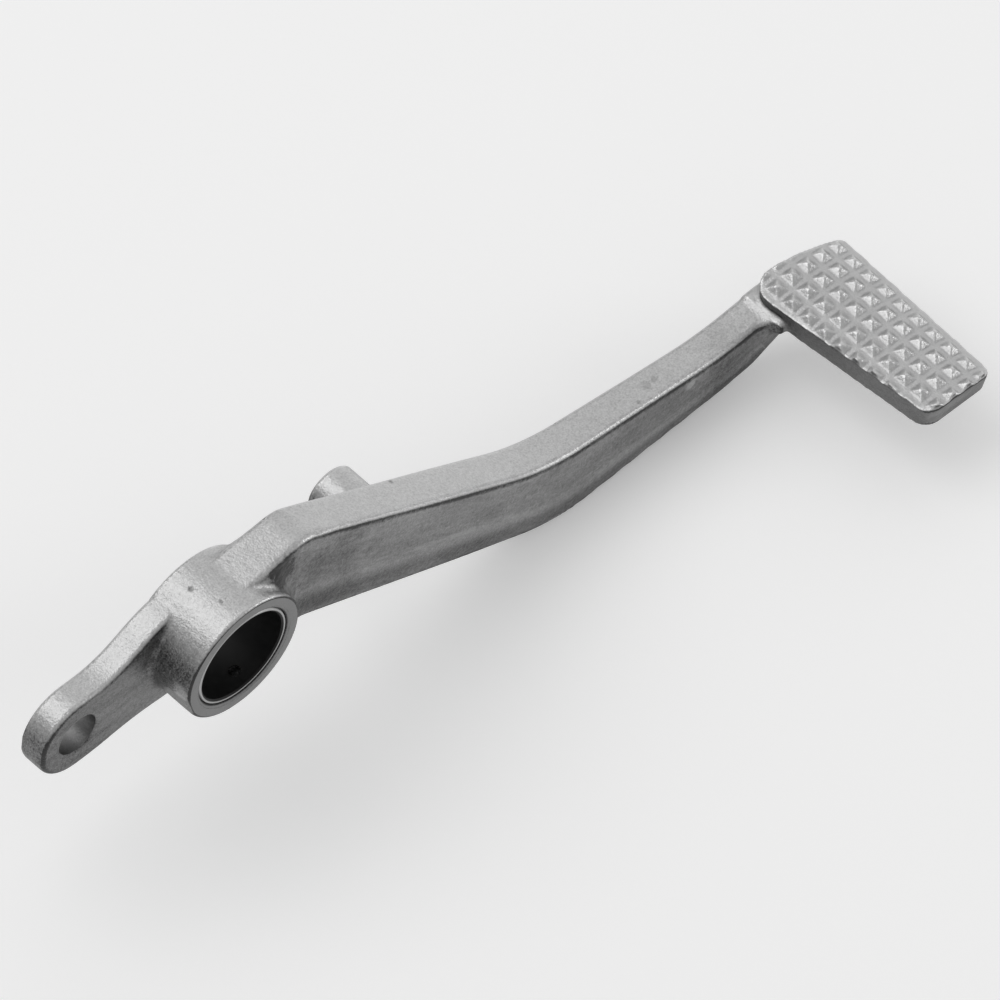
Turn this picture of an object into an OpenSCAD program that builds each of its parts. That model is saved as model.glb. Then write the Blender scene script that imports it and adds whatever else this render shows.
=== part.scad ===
// Rear brake pedal of a motorcycle: one aluminium casting with its pivot hub, swept arm,
// foot pad and rear lever, and the plain bush pressed into the hub.
// X runs forward along the pedal, Y along the pivot towards the machine, Z is up.
// The origin is on the pivot axis, in the middle of the hub.

/* [Pivot hub] */
// Outer diameter of the hub
hub_d = 28; // [26:0.5:34]
// Length of the hub along the pivot
hub_l = 16; // [14:0.5:20]
// Rounding of the hub's two rims
hub_rim = 0.7; // [0.3:0.1:1.2]
// Lead-in chamfer round the bush seat
seat_chamfer = 0.5; // [0.2:0.1:0.8]
// Depth of the ground flat on the hub's rear side
flat_depth = 0.5; // [0.2:0.1:1]

/* [Pivot bush] */
// Bore of the bush, which runs on the pivot pin
bush_bore = 20; // [16:0.5:21]
// Wall of the bush
bush_wall = 1; // [0.8:0.1:1.5]
// How far each end of the bush lies inside the hub's face
bush_recess = 0.4; // [0.2:0.1:1]
// Diameter of the grease hole in the bush
grease_hole_d = 2.4; // [1.5:0.1:3]
// Place of the grease hole along the pivot
grease_hole_y = -4.2; // [-5:0.1:5]

/* [Arm] */
// Width of the arm at the hub
arm_w = 8.8; // [7:0.1:10]
// Width of the arm at the foot pad
arm_w_pad = 6.4; // [5:0.1:7]
// Rounding of the arm's long edges
arm_edge = 1.2; // [0.6:0.1:1.8]
// Fillet where the arm runs into the hub
hub_fillet = 2.6; // [2:0.1:3.4]
// Forward place of the knee in the arm's top, past the hub
knee_x = 18.4; // [17:0.2:24]
// Height of the knee's corner
knee_z = 16.6; // [15:0.2:19]
// Depth of the arm below the knee
knee_depth = 25.2; // [23:0.2:27]
// Forward place of the main bend in the arm's top
bend_x = 82.7; // [76:0.5:90]
// Height of the main bend's corner
bend_z = -19.9; // [-24:0.5:-16]
// Depth of the arm at the main bend
bend_depth = 20.8; // [18:0.2:23]
// Depth of the arm where its underside starts to rise to the pad
toe_depth = 12.7; // [10:0.2:14]

/* [Foot pad] */
// Forward place of the pad's near edge
pad_x = 140.6; // [136:0.2:158]
// Height of the tread floor at the pad's near edge
pad_z = -22.4; // [-24:0.2:-20]
// Width of the pad along the pedal
pad_w = 22; // [20:0.2:26]
// Length of the pad along the pivot axis
pad_l = 44.2; // [36:0.2:56]
// Place of the pad's inboard edge along the pivot
pad_y = 3; // [2:0.1:4]
// Thickness of the pad's near edge
pad_t = 5; // [4:0.1:7]
// How much the pad thins towards its outboard end
pad_taper = 0.8; // [0.4:0.1:1.2]
// Radius of the pad's crowned top
crown_r = 36; // [24:1:60]
// How far the pad's ends draw in towards its underside
pad_draft = 0.9; // [0.3:0.1:1.5]

/* [Tread] */
// Rows of blunt pyramids along the pedal
tread_rows = 5; // [4:1:6]
// Blunt pyramids in a row, along the pivot
tread_cols = 10; // [8:1:12]
// Spacing of the rows round the crown
row_pitch = 3.85; // [3.6:0.05:5]
// Spacing of the pyramids in a row
col_pitch = 4.33; // [3.8:0.01:5]
// Width of the groove floor between two rows
row_gap = 1; // [0.6:0.1:1.6]
// Width of the groove floor between two pyramids of a row
col_gap = 1.1; // [0.6:0.1:1.6]
// Height of the pyramids over the groove floor
tooth_h = 0.9; // [0.5:0.1:1.2]
// Run of each pyramid's sloping side
tooth_slope = 1.3; // [0.8:0.05:1.4]
// Plain margin kept round the tread
tread_margin = 0.4; // [0.2:0.1:1]
// Turn of the tread against the pivot axis
tread_turn = -1.5; // [-3:0.1:3]

/* [Rear lever] */
// Distance of the rod eye behind the pivot
eye_x = -31.9; // [-38:0.2:-29]
// Height of the rod eye against the pivot
eye_z = -5.2; // [-6.4:0.2:-4]
// Outer diameter of the rod eye
eye_d = 18.4; // [16:0.2:19]
// Bore of the rod eye
eye_bore = 9.2; // [6:0.1:10]
// Thickness of the lever
lever_t = 6; // [5:0.1:8]
// How far the lever lies inside the hub's inboard face
lever_inset = 0.25; // [0.1:0.05:0.6]
// Rounding of the lever's edges
lever_edge = 1; // [0.5:0.1:1.6]

/* [Boss] */
// Diameter of the round boss on the arm's inboard side
boss_d = 10.9; // [8:0.1:12]
// How far the boss stands out of the arm's side
boss_h = 9.8; // [6:0.2:14]
// Distance of the boss in front of the pivot
boss_x = 43.2; // [38:0.2:50]
// Chamfer round the boss's end
boss_chamfer = 0.6; // [0.3:0.1:1]

/* [Hidden] */
$fn = 96;
eps = 0.01;
hub_r = hub_d / 2;
half_l = hub_l / 2;
bush_d = bush_bore + 2 * bush_wall;
bush_l = hub_l - 2 * bush_recess;
bush_bevel = bush_wall * 0.3;

// arm: corners of its top and bottom outline as [x, z, half length of the bend]
root_x = -2;
root_sink = 1.1;
knee_bend = 3.6;
bend_bend = 9;
bend_lag = 4.9;
toe_x = bend_x + (pad_x - bend_x) * 0.8;
toe_z = pad_z - 4;
toe_bend = 7;
toe_lag = 4.5;
step_down = 2.6;
step_x = pad_x + 1.4;
pad_end_x = pad_x + pad_w;
under_z = pad_z - pad_t;
rib_depth = 0.6;
arm_end_x = pad_x + pad_w * 0.75;
arm_top_line = [
    [root_x, hub_r - root_sink, 0],
    [knee_x, knee_z, knee_bend],
    [bend_x, bend_z, bend_bend],
    [toe_x, toe_z, toe_bend],
    [step_x, pad_z - step_down, 1],
    [arm_end_x, pad_z - step_down, 0],
];
arm_bottom_line = [
    [root_x, 0, 0],
    [knee_x, knee_z - knee_depth, knee_bend],
    [bend_x + bend_lag, bend_z - bend_depth, bend_bend],
    [toe_x + toe_lag, toe_z - toe_depth, toe_bend * 0.6],
    [arm_end_x, under_z - rib_depth, 0],
];
// half widths of its outboard and inboard sides, in the same way: the arm keeps its width
// from the hub to where it starts to slim, and leans inboard at both ends
slim_x = bend_x - 20;
slim_end_x = bend_x + 24;
lean_hub = 0.9;
lean_end_x = knee_x + 16;
lean_pad = 0.65;
arm_out_line = [
    [root_x, arm_w / 2, 0],
    [slim_x, arm_w / 2, 10],
    [toe_x, arm_w_pad / 2 + 0.1, 10],
    [arm_end_x, arm_w_pad / 2, 0],
];
arm_in_line = [
    [root_x, arm_w / 2 + lean_hub, 0],
    [lean_end_x, arm_w / 2, 8],
    [slim_x, arm_w / 2, 6],
    [slim_end_x, arm_w_pad / 2 + lean_pad, 8],
    [arm_end_x, arm_w_pad / 2 + lean_pad, 0],
];
// the rib under the pad draws in from the pad's slanted inboard edge
rib_draw = 0.32;
rib_start_x = pad_x + 6.3;
fillet_r = min(hub_fillet, half_l - arm_w / 2 - 0.2);
pad_fillet = 3.4;
top_fillet = 0.5;

// lever: outline of its neck between the eye and the hub
eye_r = eye_d / 2;
lever_in_y = half_l - lever_inset;
lever_out_y = lever_in_y - lever_t;
neck_end_x = -3;
lever_top_line = [
    [eye_x, eye_z + eye_r, 0],
    [eye_x * 0.735, eye_z + eye_r, 5],
    [-hub_r * 0.9, hub_r * 0.74, 4],
    [neck_end_x, hub_r * 0.87, 0],
];
lever_bottom_line = [
    [eye_x, eye_z - eye_r, 0],
    [eye_x + 5, eye_z - eye_r, 4],
    [eye_x * 0.56, -hub_r * 0.935, 5],
    [-hub_r * 0.55, -hub_r * 0.975, 2],
    [neck_end_x, -hub_r * 0.91, 0],
];
eye_chamfer = 0.3;

// hub: tilt of the ground flat along the pivot, and its turn round it
flat_tilt = 4;
flat_turn = 18;
grease_hole_turn = 168;

// pad: corners of its plan as [x, y, rounding], from the near inboard one round to the
// near outboard one, with their skews off a plain rectangle
pad_out_y = pad_y - pad_l;
near_skew = [3.9, 1.3];
far_skew = [1.1, 2.6];
pad_corners = [
    [pad_x, pad_y + near_skew[1], 4.5],
    [pad_end_x, pad_y - far_skew[1], 1.6],
    [pad_end_x - far_skew[0], pad_out_y, 2.6],
    [pad_x + near_skew[0], pad_out_y, 3.6],
];
pad_mid = [pad_x + pad_w / 2, pad_y - pad_l / 2];
function drawn_in(p) = pad_mid + [
    (p[0] - pad_mid[0]) * (1 - 2 * tread_margin / pad_w),
    (p[1] - pad_mid[1]) * (1 - 2 * tread_margin / pad_l)];
crown_x = pad_x + pad_w * 0.44;
crown_rise = pow(crown_x - pad_x, 2) / (2 * crown_r);
crown_axis_z = pad_z + crown_rise - crown_r;
CROWN_STEPS = 180;
tread_floor = 0.1;
tread_shift = [-0.1, -1.65];
tread_x = pad_mid[0] + tread_shift[0];
tread_y = pad_mid[1] + tread_shift[1];
groove_reach = 0.6;
past_pad = pad_l * 1.4;

function sum(v) = v * [for (i = v) 1];
function span(a, b, n) = [for (i = [0 : n - 1]) a + (b - a) * i / n];

// outline with each corner [x, y, rounding] drawn as an arc
function unit(v) = v / norm(v);
function plan_at(c) = [c[0], c[1]];
function arc(before, at, after, r) = let (
        u = unit(plan_at(before) - plan_at(at)),
        v = unit(plan_at(after) - plan_at(at)),
        half = acos(u * v) / 2,
        middle = plan_at(at) + unit(u + v) * r / sin(half),
        from = plan_at(at) + u * r / tan(half) - middle,
        to = plan_at(at) + v * r / tan(half) - middle)
    [for (k = [0 : CORNER_STEPS]) let (t = (90 - half) * 2 * k / CORNER_STEPS)
        middle + (from * sin(180 - 2 * half - t) + to * sin(t)) / sin(180 - 2 * half)];
CORNER_STEPS = 6;
function rounded(corners) = let (n = len(corners))
    [for (i = [0 : n - 1]) let (before = corners[(i + n - 1) % n], after = corners[(i + 1) % n])
        each arc(before, corners[i], after, corners[i][2])];

// height of a line of straight runs joined by soft bends
function ramp(d, b) = d <= -b ? 0 : d >= b ? d : (d + b) * (d + b) / (4 * b);
function run(p, i) = (p[i + 1][1] - p[i][1]) / (p[i + 1][0] - p[i][0]);
function bent(x, p) = p[0][1] + run(p, 0) * (x - p[0][0])
    + sum([for (i = [1 : len(p) - 2]) (run(p, i) - run(p, i - 1)) * ramp(x - p[i][0], p[i][2])]);
function grade(x, p) = (bent(x + 0.05, p) - bent(x - 0.05, p)) / 0.1;

// how far a round fillet of radius r stands off a side, at a distance s from its corner
function fillet(s, r) = s >= r || r <= 0 ? 0 : r - sqrt(r * r - pow(r - max(s, 0), 2));
function clear_of_hub(x, p) = max(0, norm([x, bent(x, p)]) - hub_r);
function hub_flare(q, p) = fillet(norm(q) - hub_r, min(fillet_r, clear_of_hub(q[0], p)));
function pad_flare(q) = fillet(norm([max(0, pad_x - q[0]), max(0, under_z - q[1])]), pad_fillet);

// A bar is a row of ribs. A rib is [bottom point, its outward normal, top point, its outward
// normal, outboard side, inboard side], with points in X and Z and the sides in Y.
SIDE_STEPS = 5;
ROUND_STEPS = 3;
function rim_in(rib, k, r) = rib[k] - r * rib[k + 1];
function middle(rib) = (rib[0] + rib[2]) / 2;
function side(rib, k, r, steps) = [for (i = [0 : steps])
    middle(rib) + (rim_in(rib, k, r) - middle(rib)) * (i + 0.5) / (steps + 0.5)];
function corner(rib, k, r) = [for (a = [for (i = [1 : ROUND_STEPS]) 90 * i / ROUND_STEPS])
    [rib[k] - r * (1 - sin(a)) * rib[k + 1], r * (1 - cos(a))]];
function flip(v) = [for (i = [len(v) - 1 : -1 : 0]) v[i]];

module bar(ribs, r, steps, flare_out, flare_in) {
    half = steps + 1 + ROUND_STEPS;
    count = 4 * half;
    function at(q, y) = [q[0], y, q[1]];
    function half_ring(rib, k) = concat(
        [for (q = side(rib, k, r, steps)) at(q, rib[4] - flare_out(q))],
        [for (c = corner(rib, k, r)) at(c[0], rib[4] - flare_out(rim_in(rib, k, r)) + c[1])],
        flip([for (c = corner(rib, k, r)) at(c[0], rib[5] + flare_in(rim_in(rib, k, r)) - c[1])]),
        flip([for (q = side(rib, k, r, steps)) at(q, rib[5] + flare_in(q))])
    );
    points = [for (rib = ribs) each concat(half_ring(rib, 2), flip(half_ring(rib, 0)))];
    function cap(first) = [for (k = [0 : 2 * half - 2]) each [
        [first + k, first + count - 1 - k, first + k + 1],
        [first + k + 1, first + count - 1 - k, first + count - 2 - k]]];
    skin = [for (s = [0 : len(ribs) - 2], k = [0 : count - 1])
        let (a = s * count + k, b = s * count + (k + 1) % count) each [
            [a, b, a + count], [b, b + count, a + count]]];
    end_cap = [for (f = cap((len(ribs) - 1) * count)) flip(f)];
    polyhedron(points, concat(skin, cap(0), end_cap));
}

// hub barrel along the pivot, with rounded rims
module hub_barrel() {
    rotate([90, 0, 0])
        rotate_extrude()
            polygon(concat(
                [[0, -half_l]],
                [for (a = [0 : 22.5 : 90])
                    [hub_r - hub_rim * (1 - sin(a)), -half_l + hub_rim * (1 - cos(a))]],
                [for (a = [90 : -22.5 : 0])
                    [hub_r - hub_rim * (1 - sin(a)), half_l - hub_rim * (1 - cos(a))]],
                [[0, half_l]]));
}

function arm_rib(x) = let (
        top = bent(x, arm_top_line) + fillet(pad_x - x, top_fillet),
        bottom = bent(x, arm_bottom_line),
        up = [-grade(x, arm_top_line), 1],
        down = [grade(x, arm_bottom_line), -1],
        draw = max(0, x - rib_start_x) * rib_draw)
    [[x, bottom], down / norm(down), [x, top], up / norm(up),
     -bent(x, arm_out_line), bent(x, arm_in_line) - draw];

module arm() {
    near_pad = pad_x - 2 * pad_fillet;
    ribs = [for (x = concat(
        span(root_x, hub_r * 0.9, 3),
        span(hub_r * 0.9, hub_r + 2.2 * fillet_r, 18),
        span(hub_r + 2.2 * fillet_r, bend_x - bend_bend, 8),
        span(bend_x - bend_bend, bend_x + bend_bend + 5, 14),
        span(bend_x + bend_bend + 5, toe_x - toe_bend, 4),
        span(toe_x - toe_bend, near_pad, 8),
        span(near_pad, pad_x, 10),
        span(pad_x, arm_end_x + eps, 8),
        [arm_end_x])) arm_rib(x)];
    bar(ribs, arm_edge, SIDE_STEPS,
        function (q) max(hub_flare(q, arm_top_line), pad_flare(q)),
        function (q) hub_flare(q, arm_top_line));
}

function eye_rib(a) = let (
        up = [-cos(a), sin(a)],
        down = [-cos(a), -sin(a)],
        centre = [eye_x, eye_z])
    [centre + eye_r * down, down, centre + eye_r * up, up, lever_out_y, lever_in_y];
function neck_rib(x) = let (
        up = [-grade(x, lever_top_line), 1],
        down = [grade(x, lever_bottom_line), -1])
    [[x, bent(x, lever_bottom_line)], down / norm(down),
     [x, bent(x, lever_top_line)], up / norm(up), lever_out_y, lever_in_y];

module rear_lever() {
    eye_ribs = [for (a = [10 : 8 : 82]) eye_rib(a)];
    neck_ribs = [for (x = concat(
        span(eye_x, -hub_r - 1.6 * fillet_r, 8),
        span(-hub_r - 1.6 * fillet_r, neck_end_x, 14),
        [neck_end_x])) neck_rib(x)];
    bar(concat(eye_ribs, neck_ribs), lever_edge, 0,
        function (q) 0,
        function (q) 0);
}

// the crown's axis, square to the rows of the tread
module on_crown() {
    translate([crown_x, tread_y, crown_axis_z])
        rotate([0, 0, tread_turn])
            children();
}

// one straight groove of the tread with sloping walls, its floor at the given height
module groove(floor_w, length, floor_z) {
    deep = tooth_h + groove_reach;
    flare = tooth_slope * deep / tooth_h;
    translate([0, length / 2, floor_z])
        rotate([90, 0, 0])
            linear_extrude(length)
                polygon([
                    [-floor_w / 2, 0],
                    [floor_w / 2, 0],
                    [floor_w / 2 + flare, deep],
                    [-floor_w / 2 - flare, deep]]);
}

// grooves along the pivot lie side by side round the crown
module row_grooves() {
    step = row_pitch / crown_r * 180 / PI;
    middle = asin((tread_x - crown_x) / crown_r);
    for (i = [0 : tread_rows])
        rotate([0, middle + (i - tread_rows / 2) * step, 0])
            groove(row_gap, past_pad, crown_r);
}

// grooves along the pedal follow the crown
module column_grooves() {
    deep = tooth_h + groove_reach;
    flare = tooth_slope * deep / tooth_h;
    for (i = [0 : tread_cols])
        translate([0, (i - tread_cols / 2) * col_pitch, 0])
            rotate([90, 0, 0])
                rotate_extrude($fn = CROWN_STEPS)
                    polygon([
                        [crown_r, -col_gap / 2],
                        [crown_r, col_gap / 2],
                        [crown_r + deep, col_gap / 2 + flare],
                        [crown_r + deep, -col_gap / 2 - flare]]);
}

// crowned body of the pad, from its underside up to the given radius of the crown
module pad_body(plan, top_r) {
    height = pad_t + crown_rise + tooth_h + 1;
    grow = 1 / (1 - 2 * pad_draft / pad_l * height / (pad_t + tooth_h));
    intersection() {
        translate([pad_mid[0], pad_mid[1], under_z])
            linear_extrude(height, scale = grow)
                polygon([for (p = plan) (p - pad_mid) / grow]);
        on_crown()
            rotate([90, 0, 0])
                cylinder(r = top_r, h = past_pad, center = true, $fn = CROWN_STEPS);
    }
}

// what the pad lacks below its slanted underside
module under_taper() {
    translate([pad_x - pad_w / 2, pad_y + near_skew[1], under_z])
        rotate([-atan(pad_taper / pad_l), 0, 0])
            translate([0, -past_pad, -pad_t])
                cube([2 * pad_w, past_pad, pad_t]);
}

module foot_pad() {
    plan = rounded(pad_corners);
    difference() {
        union() {
            pad_body(plan, crown_r + tread_floor);
            pad_body([for (p = plan) drawn_in(p)], crown_r + tooth_h);
        }
        on_crown() {
            row_grooves();
            column_grooves();
        }
        under_taper();
    }
}

module boss() {
    boss_z = (bent(boss_x, arm_top_line) + bent(boss_x, arm_bottom_line)) / 2;
    length = arm_w / 2 + boss_h;
    translate([boss_x, 0, boss_z])
        rotate([-90, 0, 0])
            rotate_extrude()
                polygon([
                    [0, 0],
                    [boss_d / 2, 0],
                    [boss_d / 2, length - boss_chamfer],
                    [boss_d / 2 - boss_chamfer, length],
                    [0, length]]);
}

// seat for the bush, with a lead-in chamfer at both ends
module bush_seat() {
    seat_r = bush_d / 2;
    rotate([90, 0, 0])
        rotate_extrude()
            polygon([
                [0, -half_l - 1],
                [seat_r + seat_chamfer + 1, -half_l - 1],
                [seat_r, -half_l + seat_chamfer],
                [seat_r, half_l - seat_chamfer],
                [seat_r + seat_chamfer + 1, half_l + 1],
                [0, half_l + 1]]);
}

module eye_hole() {
    hole_r = eye_bore / 2;
    translate([eye_x, lever_out_y, eye_z])
        rotate([-90, 0, 0])
            rotate_extrude()
                polygon([
                    [0, -1],
                    [hole_r + eye_chamfer + 1, -1],
                    [hole_r, eye_chamfer],
                    [hole_r, lever_t - eye_chamfer],
                    [hole_r + eye_chamfer + 1, lever_t + 1],
                    [0, lever_t + 1]]);
}

// flat ground on the hub's rear side, deepest at the outboard face
module ground_flat() {
    reach = flat_depth / tan(flat_tilt);
    rotate([0, -flat_turn, 0])
        translate([-hub_r, -half_l, -hub_r])
            linear_extrude(hub_d)
                polygon([
                    [flat_depth + tan(flat_tilt), -1],
                    [0, reach],
                    [-1, reach],
                    [-1, -1]]);
}

// pedal casting: hub, arm, pad, rear lever and boss in one piece
module pedal_casting() {
    color([0.66, 0.66, 0.67])
        difference() {
            union() {
                hub_barrel();
                arm();
                rear_lever();
                foot_pad();
                boss();
            }
            bush_seat();
            eye_hole();
            ground_flat();
        }
}

// plain bush pressed into the hub, with its grease hole
module pivot_bush() {
    half = bush_l / 2;
    bore_r = bush_bore / 2;
    color([0.3, 0.3, 0.31])
        difference() {
            rotate([90, 0, 0])
                rotate_extrude()
                    polygon([
                        [bore_r, -half + bush_bevel],
                        [bore_r + bush_bevel, -half],
                        [bore_r + bush_wall - bush_bevel, -half],
                        [bore_r + bush_wall, -half + bush_bevel],
                        [bore_r + bush_wall, half - bush_bevel],
                        [bore_r + bush_wall - bush_bevel, half],
                        [bore_r + bush_bevel, half],
                        [bore_r, half - bush_bevel]]);
            translate([0, grease_hole_y, 0])
                rotate([0, grease_hole_turn, 0])
                    cylinder(d = grease_hole_d, h = bush_d, $fn = 32);
        }
}

pedal_casting();
pivot_bush();
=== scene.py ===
import math

import bmesh
import bpy
import numpy as np
from mathutils import Matrix, Vector
from mathutils.kdtree import KDTree

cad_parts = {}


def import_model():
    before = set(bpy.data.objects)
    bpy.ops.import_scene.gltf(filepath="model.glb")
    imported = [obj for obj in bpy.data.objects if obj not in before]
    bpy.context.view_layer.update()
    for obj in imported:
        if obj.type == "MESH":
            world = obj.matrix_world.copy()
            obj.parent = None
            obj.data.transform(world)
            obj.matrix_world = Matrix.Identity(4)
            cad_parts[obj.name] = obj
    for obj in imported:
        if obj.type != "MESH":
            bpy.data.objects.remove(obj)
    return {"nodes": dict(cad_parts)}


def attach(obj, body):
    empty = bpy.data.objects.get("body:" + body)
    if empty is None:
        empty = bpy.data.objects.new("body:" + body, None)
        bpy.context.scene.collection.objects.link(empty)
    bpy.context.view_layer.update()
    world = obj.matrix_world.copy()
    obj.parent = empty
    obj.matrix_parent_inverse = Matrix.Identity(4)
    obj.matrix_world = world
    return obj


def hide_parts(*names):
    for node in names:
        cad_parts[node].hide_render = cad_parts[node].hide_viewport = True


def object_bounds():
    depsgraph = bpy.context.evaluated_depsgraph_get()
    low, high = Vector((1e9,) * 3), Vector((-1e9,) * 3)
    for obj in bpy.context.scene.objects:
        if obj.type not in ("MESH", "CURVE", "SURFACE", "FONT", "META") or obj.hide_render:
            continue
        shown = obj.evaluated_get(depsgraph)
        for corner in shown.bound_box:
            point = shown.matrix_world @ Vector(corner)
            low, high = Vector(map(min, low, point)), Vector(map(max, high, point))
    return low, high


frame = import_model()
cad_low, cad_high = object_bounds()

MM = 0.001

# pivot hub, on the origin along Y
HUB_R = 14.0
HUB_HALF = 8.0
SEAT_R = 11.0
SEAT_CHAMFER = 0.5
BORE_R = 10.0
# arm, between the hub and the foot pad
ARM_START = 16.0
ARM_HALF = 4.4
ARM_MARGIN = 0.6
KNEE = (18.6, 15.4)
# its sides fall away by so much, from a share of its depth and over a share of its depth
FLANK_FALL = 0.7
FALL_STARTS = 0.66
FALL_OVER = 0.34
# rear lever and its rod eye
EYE = (-31.9, -5.2)
EYE_R = 4.6
EYE_CHAMFER = 0.3
LEVER_OUT = 1.75
LEVER_IN = 7.75
# foot pad
PAD_X = 140.6
TREAD_LOW = -24.4

# the mesh that the casting is made of again: its grain, its size and how it is smoothed
VOXEL = 0.22
MOST_TRIANGLES = 180000
WELD = 0.002
BULGE_PASSES = 10
FILLET_PASSES = 90
EVEN_PASSES = 3
SHARP_ANGLE = 38
# the bores' plugs and cutters, and the skin that is faced off the hub
PLUG_WIDER = 0.8
PLUG_SHORTER = 0.3
CUTTER_REACH = 1.5
CUTTER_WIDER = 3.0
CUTTER_END = 12.0
FACED_OFF = 0.04
TOLERANCE = 0.02

# small marks left by casting and handling: place, radius and depth, or height where below 0
MARKS = [
    ((-4.0, 2.9, 13.4), 0.75, 0.22),
    ((-3.4, 2.3, 13.5), 0.45, 0.16),
    ((-2.1, -3.0, 13.8), 0.55, 0.22),
    ((-1.3, -3.4, 13.9), 0.35, 0.16),
    ((-7.5, -1.5, 11.8), 0.4, 0.1),
    ((64.4, -4.2, -9.6), 0.5, -0.16),
    ((65.3, -4.2, -10.2), 0.45, 0.2),
    ((15.6, 4.6, 15.8), 0.8, 0.35),
    ((17.0, 4.7, 16.0), 0.5, 0.2),
    ((92.1, 3.9, -21.6), 0.7, 0.25),
    ((47.8, 3.4, -0.1), 0.5, 0.18),
    ((108.0, -2.6, -23.4), 0.6, 0.15),
    ((9.9, -5.0, 12.6), 0.7, 0.12),
]

# stains on the skin, and painted shade in the corner by the hub: place, radius and how dark, or
# how light where below 0
STAINS = [
    ((-4.0, 2.9, 13.4), 0.8, 0.3),
    ((-2.1, -3.0, 13.8), 0.6, 0.3),
    ((47.8, 3.1, -0.1), 0.8, 0.35),
    ((108.0, -2.1, -23.5), 0.7, 0.25),
    ((112.2, 0.0, -24.0), 1.5, 0.2),
    ((114.5, 0.3, -24.4), 1.0, 0.2),
    ((120.6, -3.4, -27.7), 1.8, -0.3),
    # painted shade in the inner corner between the arm's outboard side and the hub
    ((11.5, -5.6, 12.0), 4.6, 0.45),
    ((25.0, -4.4, -1.0), 15.0, 0.12),
    ((133.0, -3.4, -32.0), 11.0, 0.14),
    ((-14.0, -5.6, -0.4), 2.6, -0.3),
]


# Materials

class Value:
    """A socket in a material, with which sums are written as they are in Python."""

    def __init__(self, finish, socket):
        self.finish = finish
        self.socket = socket

    def math(self, operation, *others):
        node = self.finish.node("Math", {"operation": operation})
        for slot, term in zip(node.inputs, (self,) + others):
            self.finish.feed(slot, term)
        return Value(self.finish, node.outputs[0])

    def __add__(self, other):
        return self.math("ADD", other)

    __radd__ = __add__

    def __sub__(self, other):
        return self.math("SUBTRACT", other)

    def __rsub__(self, other):
        return (self * -1) + other

    def __mul__(self, other):
        return self.math("MULTIPLY", other)

    __rmul__ = __mul__

    def within(self, low, high):
        return self.math("MAXIMUM", low).math("MINIMUM", high)

    def ease(self, low, high):
        """0 below low, 1 above high, and a soft step between them."""
        node = self.finish.node(
            "MapRange", {"interpolation_type": "SMOOTHSTEP"},
            {"Value": self, "From Min": low, "From Max": high})
        return Value(self.finish, node.outputs[0])


class Finish:
    """One surface finish: a material with its main shader."""

    def __init__(self, name):
        self.material = bpy.data.materials.new(name)
        self.material.use_nodes = True
        self.tree = self.material.node_tree
        self.tree.nodes.clear()
        self.skin = self.node("BsdfPrincipled")
        out = self.node("OutputMaterial")
        self.tree.links.new(self.skin.outputs[0], out.inputs["Surface"])

    def node(self, kind, settings=None, inputs=None):
        made = self.tree.nodes.new("ShaderNode" + kind)
        for key, setting in (settings or {}).items():
            setattr(made, key, setting)
        for key, term in (inputs or {}).items():
            self.feed(made.inputs[key], term)
        return made

    def feed(self, slot, term):
        if isinstance(term, Value):
            self.tree.links.new(term.socket, slot)
        elif isinstance(term, bpy.types.NodeSocket):
            self.tree.links.new(term, slot)
        else:
            slot.default_value = term

    def place(self, along=None, stretch=(1, 1, 1)):
        """Place on the part in metres, or a place painted on the mesh, stretched by axis."""
        if along is None:
            spot = self.node("TexCoord").outputs["Object"]
        else:
            spot = self.node("Attribute", {"attribute_name": along}).outputs["Vector"]
        return self.node("Mapping", None, {"Vector": spot, "Scale": stretch}).outputs[0]

    def axes(self, along=None):
        """The three coordinates of a place, each as a value."""
        split = self.node("SeparateXYZ", None, {"Vector": self.place(along)})
        return [Value(self, split.outputs[k]) for k in range(3)]

    def from_pivot(self):
        """Distance from the pivot's axis, in metres."""
        x, _, z = self.axes()
        return (x * x + z * z).math("SQRT")

    def noise(self, size, along=None, stretch=(1, 1, 1), detail=3.0, rough=0.5):
        """Cloudy noise from 0 to 1 with lumps of a size in millimetres."""
        made = self.node("TexNoise", None, {
            "Vector": self.place(along, stretch), "Scale": 1 / (size * MM),
            "Detail": detail, "Roughness": rough})
        return Value(self, made.outputs["Fac"])

    def near(self, place, radius):
        """1 at a place of the part in millimetres, fading to 0 with a ragged edge."""
        made = self.node("VectorMath", {"operation": "DISTANCE"}, {"Vector": self.place()})
        self.feed(made.inputs[1], [MM * k for k in place])
        ragged = (self.noise(1.2 + 0.1 * radius) - 0.5) * (radius * MM)
        away = Value(self, made.outputs["Value"]) + ragged
        return 1 - away.ease(0.35 * radius * MM, radius * MM)

    def mark(self, name):
        """A value painted on the mesh's points when it was made."""
        made = self.node("Attribute", {"attribute_name": name})
        return Value(self, made.outputs["Fac"])

    def blend(self, low, high, share):
        """Colour between two, by a share from 0 to 1."""
        made = self.node("Mix", {"data_type": "RGBA"})
        self.feed(made.inputs[0], share)
        self.feed(made.inputs[6], low)
        self.feed(made.inputs[7], high)
        return made.outputs[2]

    def relief(self, height, depth, over=None):
        """Bump of a depth in millimetres, laid over another."""
        made = self.node("Bump", None, {
            "Height": height, "Distance": depth * MM, "Strength": 1.0})
        if over is not None:
            self.feed(made.inputs["Normal"], over)
        return made.outputs[0]

    def set(self, **sockets):
        for key, term in sockets.items():
            self.feed(self.skin.inputs[key.replace("_", " ")], term)


def grey(level):
    return (level, level, level, 1)


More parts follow.
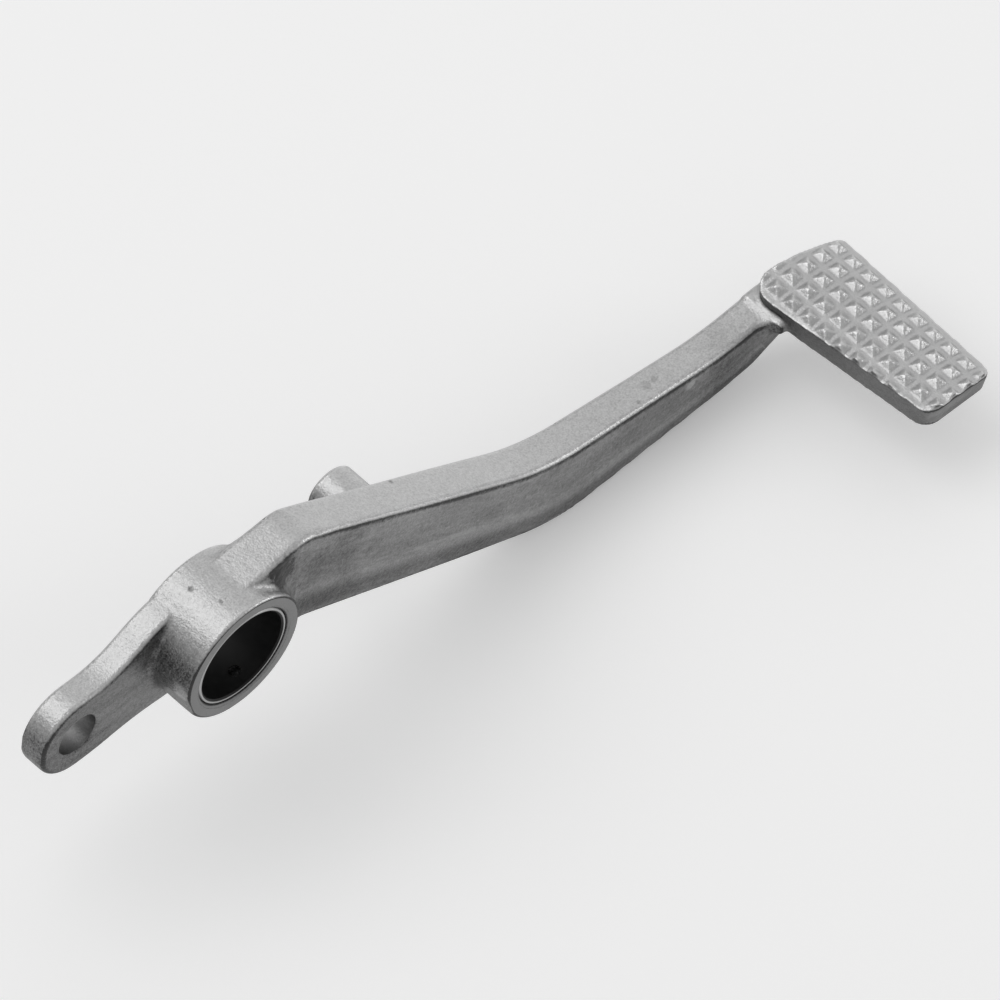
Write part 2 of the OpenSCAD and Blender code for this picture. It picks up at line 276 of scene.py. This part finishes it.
def cast_aluminium():
    """Blasted and tumbled casting: satin grey with a fine grain, worn bright at its edges with a
    painted highlight on their upper side, mottled on its sides, and with painted shade on its
    sides and underneath."""
    f = Finish("cast_aluminium")
    f.set(Metallic=1.0)
    up, wear_and_highlight, dark = f.mark("up"), f.mark("wear_and_highlight"), f.mark("dark")
    side, depth, on_arm = f.mark("side"), f.mark("depth"), f.mark("on_arm")
    grain = f.noise(0.36, detail=1.0) - 0.5
    fleck = f.noise(0.9, detail=3.0, rough=0.6) - 0.5
    cloud = f.noise(8, detail=5.0, rough=0.65) - 0.5
    streak = f.noise(2.4, "flow", (0.18, 1, 1), detail=5.0, rough=0.7) - 0.5
    patch = f.noise(11, "flow", (0.5, 1, 1), detail=3.0) - 0.5

    # on the sides: a painted highlight on a crest, painted shade in the band below it, and a
    # painted shadow under the top edge
    ragged = depth + streak * 0.22
    crest_highlight = ragged.ease(0.5, 0.62) * (1 - ragged.ease(0.64, 0.76))
    low_band_shade = ragged.ease(0.66, 0.84)
    below = f.axes("flow")[2] + (streak + fleck) * (0.7 * MM)
    shadow = below.ease(0.4 * MM, 0.8 * MM) * (1 - below.ease(1.1 * MM, 1.9 * MM))
    flank = (0.02 + on_arm * 0.1 + streak * 0.5 + patch * 0.28 + crest_highlight * 0.1 - low_band_shade * 0.17
             - shadow * on_arm * 0.2) * side

    # the blasted grain is finer on the foot pad and on the sides
    on_pad = f.axes()[0].ease(PAD_X * MM, (PAD_X + 1) * MM)
    speckle = (grain * 0.62 + fleck * 0.36) * (1 - on_pad * 0.6 - side * 0.2)
    # painted light and shade: lighter where the surface faces up, darker on the sides and
    # underneath, with a painted highlight on worn edges and painted shade in corners and below
    # edges
    top = up.ease(0.28, 0.9)
    tone = (0.18 + top * 0.67 + speckle + cloud * 0.16 + flank + wear_and_highlight * 0.3 - dark * 0.5)
    for place, radius, shade in STAINS:
        tone = tone - f.near(place, radius) * shade
    f.set(
        Base_Color=f.blend(grey(0.05), grey(0.68), tone.within(0.0, 1.3)),
        Roughness=(0.43 - top * 0.04 - wear_and_highlight * 0.08 + grain * 0.3 + streak * side * 0.2),
        Normal=f.relief(fleck, 0.11, f.relief(grain, 0.07)))
    return f.material


def machined_aluminium():
    """Faced and bored surfaces: even and fine, and black behind the bush as painted shade in the
    bore.
    """
    f = Finish("machined_aluminium")
    f.set(Metallic=1.0)
    grain = f.noise(0.35, detail=2.0) - 0.5
    cloud = f.noise(5, detail=3.0) - 0.5
    # painted shade: black inside the seat, in the bore behind the bush
    beyond_bore_shade = f.from_pivot().ease((SEAT_R + 0.1) * MM, (SEAT_R + 0.3) * MM)
    f.set(
        Base_Color=f.blend(
            grey(0.02), grey(0.23), (beyond_bore_shade + grain * 0.8 + cloud * 0.3).within(0.0, 1.4)),
        Roughness=0.4 + grain * 0.3,
        Normal=f.relief(grain, 0.04))
    return f.material


def bush_steel():
    """Steel rim of the bush, with a dark lining in its bore, painted near black as shade."""
    f = Finish("bush_steel")
    rim = f.from_pivot().ease((BORE_R + 0.25) * MM, (BORE_R + 0.45) * MM)
    wear = f.noise(1.4, detail=3.0)
    # near black in the bore: the lining's dark colour with painted shade
    f.set(
        Metallic=rim,
        Base_Color=f.blend(f.blend(grey(0.004), grey(0.012), wear), grey(0.42), rim),
        Roughness=0.42 - rim * 0.1 + (wear - 0.5) * 0.2,
        Normal=f.relief(wear, 0.01))
    f.set(Specular_IOR_Level=0.2)
    return f.material


# Casting

def placed(name, data):
    """A new object for a mesh, lamp or camera, put in the scene."""
    made = bpy.data.objects.new(name, data)
    bpy.context.scene.collection.objects.link(made)
    return made


def settled(piece):
    """Works the piece's modifiers into its mesh."""
    graph = bpy.context.evaluated_depsgraph_get()
    mesh = bpy.data.meshes.new_from_object(piece.evaluated_get(graph))
    piece.modifiers.clear()
    old = piece.data
    piece.data = mesh
    bpy.data.meshes.remove(old)


def turned(name, profile, at=(0.0, 0.0), steps=96):
    """Closed solid turned round an axis along Y: the profile is [radius, y] from end to end."""
    bm = bmesh.new()
    rings = []
    for radius, y in profile:
        rings.append([
            bm.verts.new((MM * (at[0] + radius * math.cos(a)), MM * y,
                          MM * (at[1] + radius * math.sin(a))))
            for a in (2 * math.pi * i / steps for i in range(steps))])
    for near, far in zip(rings, rings[1:]):
        for i in range(steps):
            j = (i + 1) % steps
            bm.faces.new((near[i], near[j], far[j], far[i]))
    bm.faces.new(rings[0])
    bm.faces.new(reversed(rings[-1]))
    bmesh.ops.recalc_face_normals(bm, faces=bm.faces)
    mesh = bpy.data.meshes.new(name)
    bm.to_mesh(mesh)
    bm.free()
    return placed(name, mesh)


def cut(piece, tool):
    made = piece.modifiers.new("cut", "BOOLEAN")
    made.operation = "DIFFERENCE"
    made.solver = "MANIFOLD"
    made.object = tool
    settled(piece)
    bpy.data.objects.remove(tool)


def rows_of(items, name):
    """A property of three numbers, as a row for each point or face."""
    flat = np.empty(len(items) * 3)
    items.foreach_get(name, flat)
    return flat.reshape(-1, 3)


def points_of(mesh):
    return rows_of(mesh.vertices, "co") / MM


def normals_of(mesh):
    return rows_of(mesh.vertices, "normal")


def edges_of(mesh):
    flat = np.empty(len(mesh.edges) * 2, dtype=np.int64)
    mesh.edges.foreach_get("vertices", flat)
    return flat.reshape(-1, 2)


def move_points(mesh, points):
    mesh.vertices.foreach_set("co", (points * MM).ravel())
    mesh.update()


def spread(value, edges, times):
    """Evens out a value over neighbouring points."""
    count = np.bincount(edges.ravel(), minlength=len(value)).astype(float)
    for _ in range(times):
        total = np.bincount(edges[:, 0], value[edges[:, 1]], len(value))
        total += np.bincount(edges[:, 1], value[edges[:, 0]], len(value))
        value = 0.5 * value + 0.5 * total / np.maximum(count, 1)
    return value


def step(value, low, high):
    """0 below low, 1 above high, and a soft step between them."""
    share = np.clip((value - low) / (high - low), 0, 1)
    return share * share * (3 - 2 * share)


def bulge(points, normals, edges):
    """How far each point stands out of its neighbours, in millimetres: an edge is above 0."""
    mean = np.stack([spread(points[:, k], edges, BULGE_PASSES) for k in range(3)], 1)
    return ((points - mean) * normals).sum(1)


def soften_corners(piece):
    """Rounds the inner corners of the casting, where the mould has its fillets, and the knee."""
    mesh = piece.data
    points = points_of(mesh)
    edges = edges_of(mesh)
    inner = np.clip(-bulge(points, normals_of(mesh), edges) / 0.05, 0, 1)
    on_tread = (points[:, 0] > PAD_X + 0.5) & (points[:, 2] > TREAD_LOW)
    inner[on_tread] = 0
    inner = np.clip(spread(inner, edges, 14) * 2.4, 0, 1)
    from_knee = np.hypot(points[:, 0] - KNEE[0], points[:, 2] - KNEE[1])
    on_knee = 1 - step(from_knee, 3.0, 7.0)
    inner = np.maximum(inner, on_knee * (1 - step(np.abs(points[:, 1]), 3.2, 4.6)))
    group = piece.vertex_groups.new(name="inner")
    for i in np.nonzero(inner > 0.02)[0]:
        group.add([int(i)], float(inner[i]), "REPLACE")
    made = piece.modifiers.new("fillet", "SMOOTH")
    made.factor = 0.5
    made.iterations = FILLET_PASSES
    made.vertex_group = "inner"
    made = piece.modifiers.new("even", "SMOOTH")
    made.factor = 0.5
    made.iterations = EVEN_PASSES
    settled(piece)
    piece.vertex_groups.clear()


def arm_frame(points):
    """For each point, its way along the arm, the height of the arm's top there, and how far
    it lies from the top towards the underside, as a share of the arm's depth."""
    stations = np.arange(ARM_START, PAD_X - 1, 1.0)
    middle = points[np.abs(points[:, 1]) < ARM_HALF / 2]
    tops, unders = [], []
    for x in stations:
        heights = middle[np.abs(middle[:, 0] - x) < VOXEL, 2]
        tops.append(heights.max())
        unders.append(heights.min())
    along = np.concatenate([[0], np.cumsum(np.hypot(np.diff(stations), np.diff(tops)))])
    x, _, z = points.T
    top, under = np.interp(x, stations, tops), np.interp(x, stations, unders)
    return np.interp(x, stations, along), top, (top - z) / np.maximum(top - under, 1)


def draw_in_flanks(points, normals):
    """Lets the arm's two sides fall away towards its rounded underside."""
    _, _, depth = arm_frame(points)
    x, y, _ = points.T
    on_arm = step(x, ARM_START, ARM_START + 6) * (1 - step(x, PAD_X - 8, PAD_X - 2))
    on_arm *= step(np.abs(normals[:, 1]), 0.2, 0.7) * (np.abs(y) < ARM_HALF + ARM_MARGIN)
    fall = np.clip((depth - FALL_STARTS) / FALL_OVER, 0, 1) ** 2 * FLANK_FALL
    points = points.copy()
    points[:, 1] -= np.sign(y) * fall * on_arm
    return points


def strike_marks(points, normals):
    """Presses the small pits and nicks into the skin, and raises the burrs."""
    points = points.copy()
    for place, radius, depth in MARKS:
        away = np.linalg.norm(points - np.array(place), axis=1)
        points -= normals * (depth * (1 - step(away, 0, radius)))[:, None]
    return points


def painted(points, normals, edges):
    """Values for the finish: slope for painted light and shade, worn edges with a painted
    highlight, painted shade in corners and below edges, and the arm's flanks.
    """
    out = bulge(points, normals, edges)
    facing_up = normals[:, 2]
    ridge = step(out, 0.012, 0.06)
    facing_up_soft = spread(facing_up, edges, 3)
    # worn edges, with a painted highlight on their upper side
    wear_and_highlight = ridge * step(facing_up_soft, 0.35, 0.75)
    # painted shade in the inner corners and on the lower side of edges
    corner_shade = step(-out, 0.01, 0.07)
    edge_shade = ridge * (1 - step(facing_up_soft, 0.2, 0.6)) * step(np.abs(normals[:, 1]), 0.3, 0.7)
    along, top, depth = arm_frame(points)
    x, y, z = points.T
    on_arm = (x > ARM_START) & (x < PAD_X) & (np.abs(y) < ARM_HALF + ARM_MARGIN)
    side = step(np.abs(normals[:, 1]), 0.5, 0.85)
    flow = np.where(on_arm[:, None], np.stack([along, y, top - z], 1), points)
    # the photograph doesn't show the inboard side, which gets less of the painted shade of the
    # sides
    up = np.maximum(facing_up, 0.52 * normals[:, 1])
    return {
        "up": up,
        "wear_and_highlight": spread(wear_and_highlight, edges, 1),
        "dark": corner_shade * 0.6 + edge_shade,
        "side": side,
        "on_arm": on_arm.astype(float),
        "depth": np.where(on_arm, np.clip(depth, 0, 1), 0.3),
        "flow": flow * MM}


def carry_over(values, fine, mesh):
    """Paints values that were worked out on the fine points onto the mesh."""
    tree = KDTree(len(fine))
    for i, point in enumerate(fine):
        tree.insert(point, i)
    tree.balance()
    nearest = np.array([tree.find(point)[1] for point in points_of(mesh)])
    for name, value in values.items():
        kind, field = ("FLOAT_VECTOR", "vector") if value.ndim == 2 else ("FLOAT", "value")
        mark = mesh.attributes.new(name, kind, "POINT")
        mark.data.foreach_set(field, value[nearest].astype(np.float32).ravel())


def turned_faces(mesh):
    """Gives the hub's faces, the bush seat and the rod eye the machined finish."""
    centre = rows_of(mesh.polygons, "center") / MM
    normal = rows_of(mesh.polygons, "normal")
    from_pivot = np.hypot(centre[:, 0], centre[:, 2])
    from_eye = np.hypot(centre[:, 0] - EYE[0], centre[:, 2] - EYE[1])
    faced = np.abs(centre[:, 1]) > HUB_HALF - FACED_OFF - TOLERANCE
    faced &= np.abs(normal[:, 1]) > 0.99
    bored = (from_pivot < SEAT_R + SEAT_CHAMFER + 0.05) | (from_eye < EYE_R + TOLERANCE)
    machined = (faced & (from_pivot < HUB_R)) | bored
    mesh.polygons.foreach_set("material_index", machined.astype(np.int32))
    mesh.polygons.foreach_set("use_smooth", np.ones(len(centre), dtype=bool))


def cast_body(node):
    """The casting again, with a fine skin, soft inner corners and crisp machined faces."""
    mesh = frame["nodes"][node].data.copy()
    piece = placed("pedal_cast", mesh)
    bm = bmesh.new()
    bm.from_mesh(mesh)
    bmesh.ops.remove_doubles(bm, verts=bm.verts, dist=WELD * MM)
    bm.to_mesh(mesh)
    bm.free()
    mesh.materials.clear()

    # the bores are plugged, so that they can be cut again with crisp edges
    seat, eye = SEAT_R + PLUG_WIDER, EYE_R + PLUG_WIDER
    plugs = [
        turned("plug", [(seat, PLUG_SHORTER - HUB_HALF), (seat, HUB_HALF - PLUG_SHORTER)]),
        turned("plug", [(eye, LEVER_OUT + PLUG_SHORTER), (eye, LEVER_IN - PLUG_SHORTER)], EYE)]
    with bpy.context.temp_override(active_object=piece, object=piece,
                                   selected_editable_objects=[piece] + plugs):
        bpy.ops.object.join()

    made = piece.modifiers.new("skin", "REMESH")
    made.mode = "VOXEL"
    made.voxel_size = VOXEL * MM
    settled(piece)
    soften_corners(piece)
    mesh = piece.data
    move_points(mesh, draw_in_flanks(points_of(mesh), normals_of(mesh)))
    values = painted(points_of(mesh), normals_of(mesh), edges_of(mesh))
    move_points(mesh, strike_marks(points_of(mesh), normals_of(mesh)))
    fine = points_of(mesh)
    made = piece.modifiers.new("thin", "DECIMATE")
    made.ratio = MOST_TRIANGLES / (2 * len(mesh.polygons))
    settled(piece)

    seat = SEAT_R + SEAT_CHAMFER + CUTTER_REACH
    cut(piece, turned("seat_cutter", [
        (seat, -HUB_HALF - CUTTER_REACH), (SEAT_R, SEAT_CHAMFER - HUB_HALF),
        (SEAT_R, HUB_HALF - SEAT_CHAMFER), (seat, HUB_HALF + CUTTER_REACH)]))
    eye = EYE_R + EYE_CHAMFER + CUTTER_REACH
    cut(piece, turned("eye_cutter", [
        (eye, LEVER_OUT - CUTTER_REACH), (EYE_R, LEVER_OUT + EYE_CHAMFER),
        (EYE_R, LEVER_IN - EYE_CHAMFER), (eye, LEVER_IN + CUTTER_REACH)], EYE))
    wide = HUB_R + CUTTER_WIDER
    for face in (-1, 1):
        plane = face * (HUB_HALF - FACED_OFF)
        cut(piece, turned("face_cutter", [(wide, plane), (wide, face * CUTTER_END)]))

    mesh = piece.data
    mesh.name = "pedal_cast"
    carry_over(values, fine, mesh)
    mesh.materials.clear()
    mesh.materials.append(cast_aluminium())
    mesh.materials.append(machined_aluminium())
    turned_faces(mesh)
    mesh.set_sharp_from_angle(angle=math.radians(SHARP_ANGLE))
    return piece


casting = cast_body("pedal_casting")
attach(casting, "root")
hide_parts("pedal_casting")

bush = frame["nodes"]["pivot_bush"]
bush.data.materials.clear()
bush.data.materials.append(bush_steel())


# Studio

# the photograph's view: its axes, its pixels to a millimetre, and where it has the pivot
RIGHT = Vector((0.7149, -0.6960, 0.0667))
UP = Vector((0.5273, 0.5995, 0.6022))
BACK = RIGHT.cross(UP).normalized()
SCALE = 5.5
PIVOT_AT = (213.9, 630.85)
MIDDLE = 500
PICTURE = 1000
# the camera: lens, sensor and the depth it is aimed at in millimetres, and its range in metres
LENS = 1500
SENSOR = 36
AIM_DEPTH = 32
NEAREST, FARTHEST = 0.1, 40
# lamps and floor in metres, and how bright the floor and the room are
LAMPS_AIM = Vector((0.06, -0.01, 0))
LAMPS_AWAY = 1.8
FLOOR_GAP = 0.0004
FLOOR_HALF = 12
FLOOR_GREY = 0.92
FLOOR_GLOW = 0.22
ROOM_GLOW = 0.45


def camera():
    """Long lens at the photograph's angle: so many pixels a millimetre, pivot in its place."""
    distance = LENS * PICTURE / SENSOR / SCALE
    data = bpy.data.cameras.new("camera")
    data.lens = LENS
    data.clip_start, data.clip_end = NEAREST, FARTHEST
    across, up = MIDDLE - PIVOT_AT[0], PIVOT_AT[1] - MIDDLE
    aim = (RIGHT * across + UP * up) / SCALE - BACK * AIM_DEPTH
    made = placed("camera", data)
    turn = Matrix((RIGHT, UP, BACK)).transposed().to_4x4()
    made.matrix_world = Matrix.Translation((aim + BACK * distance) * MM) @ turn
    bpy.context.scene.camera = made


def soft_box(name, towards, size, glow):
    """Round lamp of a brightness over its face, where 1 is white."""
    data = bpy.data.lights.new(name, "AREA")
    data.shape = "DISK"
    data.size = size
    data.energy = glow * math.pi * math.pi * (size / 2) ** 2
    made = placed(name, data)
    place = LAMPS_AIM + Vector(towards).normalized() * LAMPS_AWAY
    made.location = place
    made.rotation_mode = "QUATERNION"
    made.rotation_quaternion = (place - LAMPS_AIM).to_track_quat("Z", "Y")


def floor():
    """Pale floor just below the part, with a faint glow seen by the camera and in reflections."""
    bm = bmesh.new()
    bmesh.ops.create_grid(bm, x_segments=1, y_segments=1, size=FLOOR_HALF)
    mesh = bpy.data.meshes.new("floor")
    bm.to_mesh(mesh)
    bm.free()
    made = placed("floor", mesh)
    made.location.z = cad_low.z - FLOOR_GAP
    f = Finish("floor")
    seen = f.node("LightPath").outputs
    bright = Value(f, seen["Is Camera Ray"]) + seen["Is Glossy Ray"] + seen["Is Transmission Ray"]
    f.set(Base_Color=grey(FLOOR_GREY), Roughness=0.9, Emission_Strength=FLOOR_GLOW)
    f.set(Emission_Color=f.blend(grey(0.0), grey(1.0), bright))
    mesh.materials.append(f.material)


def world():
    """Even white light from all round."""
    made = bpy.data.worlds.new("studio")
    made.use_nodes = True
    back = made.node_tree.nodes["Background"]
    back.inputs["Color"].default_value = (1, 1, 1, 1)
    back.inputs["Strength"].default_value = ROOM_GLOW
    bpy.context.scene.world = made


camera()
floor()
world()
soft_box("key", (-0.36, 0.42, 0.83), 1.7, 1.05)
soft_box("top", (0.5, 0.36, 0.8), 1.8, 0.28)
soft_box("horizon", (0.9, 0.4, 0.22), 1.2, 0.37)
soft_box("rim", (0.78, -0.54, 0.33), 0.7, 2.6)
bpy.context.scene.view_settings.view_transform = "Standard"
